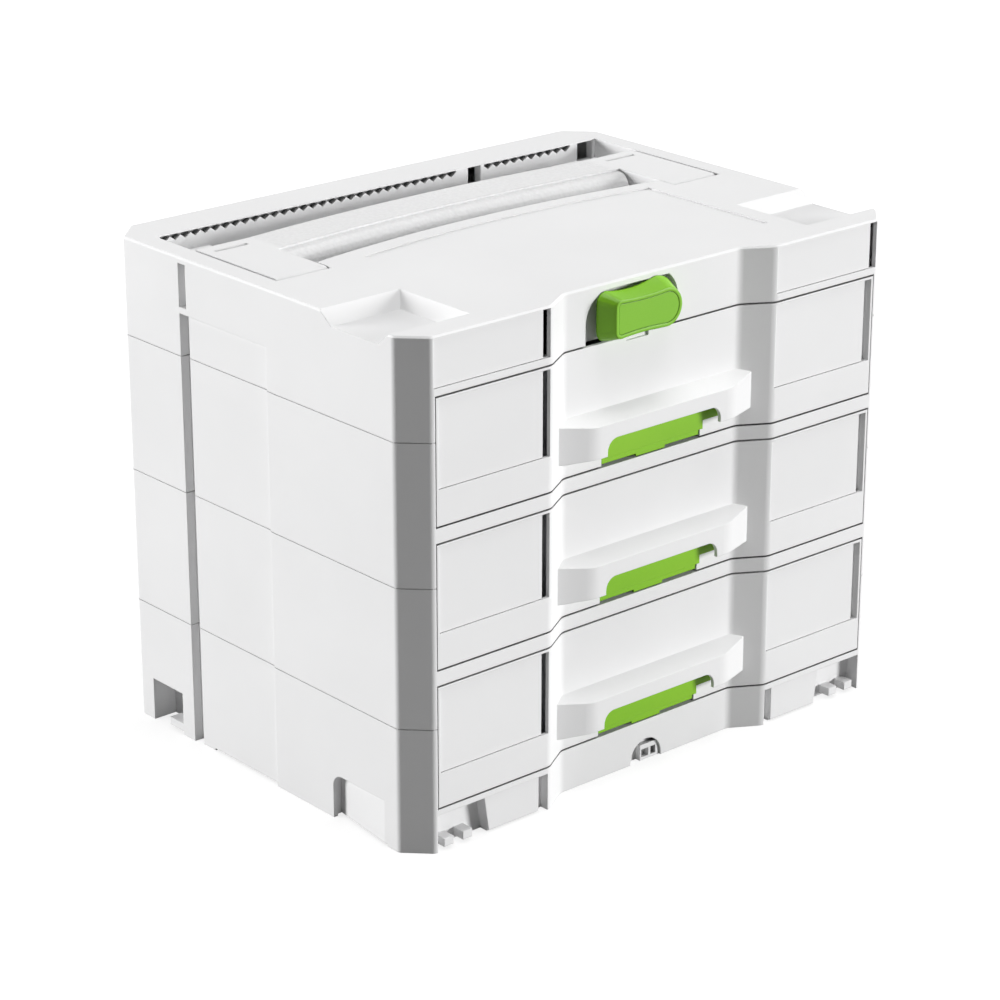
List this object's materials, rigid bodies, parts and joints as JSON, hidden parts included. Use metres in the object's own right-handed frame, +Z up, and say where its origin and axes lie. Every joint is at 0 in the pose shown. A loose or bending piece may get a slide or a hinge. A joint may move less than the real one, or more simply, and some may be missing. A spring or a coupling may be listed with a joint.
{
  "type": "drawer organizer case",
  "caption": "Stackable white plastic organizer case with pull-out drawers, green release levers, a green turning latch and a folding carry handle.",
  "frame": {"origin": "middle of the footprint on the ground", "axes": "+X to the right seen from the front, +Y to the back, +Z up; the drawers open towards -Y"},
  "size_m": [0.396, 0.296, 0.322],
  "materials": {
    "case_plastic": "satin moulded",
    "label_plastic": "smooth satin",
    "tray_plastic": "satin moulded",
    "lever_plastic": "satin moulded",
    "latch_plastic": "satin moulded",
    "inlay_plastic": "smooth satin",
    "steel": "zinc plated"
  },
  "bodies": {
    "case": {"base_module": "case_plastic", "middle_module": "case_plastic", "upper_module": "case_plastic", "top_cover": "case_plastic", "tie_screws": "steel", "cover_label_left": "label_plastic", "cover_label_right": "label_plastic", "handle_hinge_pins": "steel"},
    "handle": {"carry_handle": "case_plastic"},
    "latch": {"latch_knob": "latch_plastic", "latch_inlay": "inlay_plastic", "latch_washer": "steel", "latch_screw": "steel"},
    "bottom_drawer": {"bottom_drawer_front": "case_plastic", "bottom_drawer_tray": "tray_plastic", "bottom_label_left": "label_plastic", "bottom_label_right": "label_plastic", "bottom_long_divider": "tray_plastic", "bottom_cross_dividers": "tray_plastic", "bottom_lever_pin": "steel", "bottom_lever_spring": "steel"},
    "bottom_lever": {"bottom_release_lever": "lever_plastic"},
    "middle_drawer": {"middle_drawer_front": "case_plastic", "middle_drawer_tray": "tray_plastic", "middle_label_left": "label_plastic", "middle_label_right": "label_plastic", "middle_long_divider": "tray_plastic", "middle_cross_dividers": "tray_plastic", "middle_lever_pin": "steel", "middle_lever_spring": "steel"},
    "middle_lever": {"middle_release_lever": "lever_plastic"},
    "top_drawer": {"top_drawer_front": "case_plastic", "top_drawer_tray": "tray_plastic", "top_label_left": "label_plastic", "top_label_right": "label_plastic", "top_long_divider": "tray_plastic", "top_cross_dividers": "tray_plastic", "top_lever_pin": "steel", "top_lever_spring": "steel"},
    "top_lever": {"top_release_lever": "lever_plastic"}
  },
  "joints": [
    {"name": "bottom_drawer_slide", "type": "slide", "parent": "case", "child": "bottom_drawer", "axis": [0, -1, 0], "range_m": [0, 0.22]},
    {"name": "bottom_lever_hinge", "type": "hinge", "parent": "bottom_drawer", "child": "bottom_lever", "pos_m": [0, -0.1375, 0.0554], "axis": [1, 0, 0], "range_deg": [0, 9], "stiffness_Nm_per_rad": 0.4, "deforming": ["bottom_lever_spring"]},
    {"name": "middle_drawer_slide", "type": "slide", "parent": "case", "child": "middle_drawer", "axis": [0, -1, 0], "range_m": [0, 0.22]},
    {"name": "middle_lever_hinge", "type": "hinge", "parent": "middle_drawer", "child": "middle_lever", "pos_m": [0, -0.1375, 0.1445], "axis": [1, 0, 0], "range_deg": [0, 9], "stiffness_Nm_per_rad": 0.4, "deforming": ["middle_lever_spring"]},
    {"name": "top_drawer_slide", "type": "slide", "parent": "case", "child": "top_drawer", "axis": [0, -1, 0], "range_m": [0, 0.22]},
    {"name": "top_lever_hinge", "type": "hinge", "parent": "top_drawer", "child": "top_lever", "pos_m": [0, -0.1375, 0.2336], "axis": [1, 0, 0], "range_deg": [0, 9], "stiffness_Nm_per_rad": 0.4, "deforming": ["top_lever_spring"]},
    {"name": "handle_hinge", "type": "hinge", "parent": "case", "child": "handle", "pos_m": [0, 0, 0.316], "axis": [1, 0, 0], "range_deg": [0, 90]},
    {"name": "latch_hinge", "type": "hinge", "parent": "case", "child": "latch", "pos_m": [0, -0.1365, 0.3017], "axis": [0, 1, 0], "range_deg": [0, 90]}
  ]
}
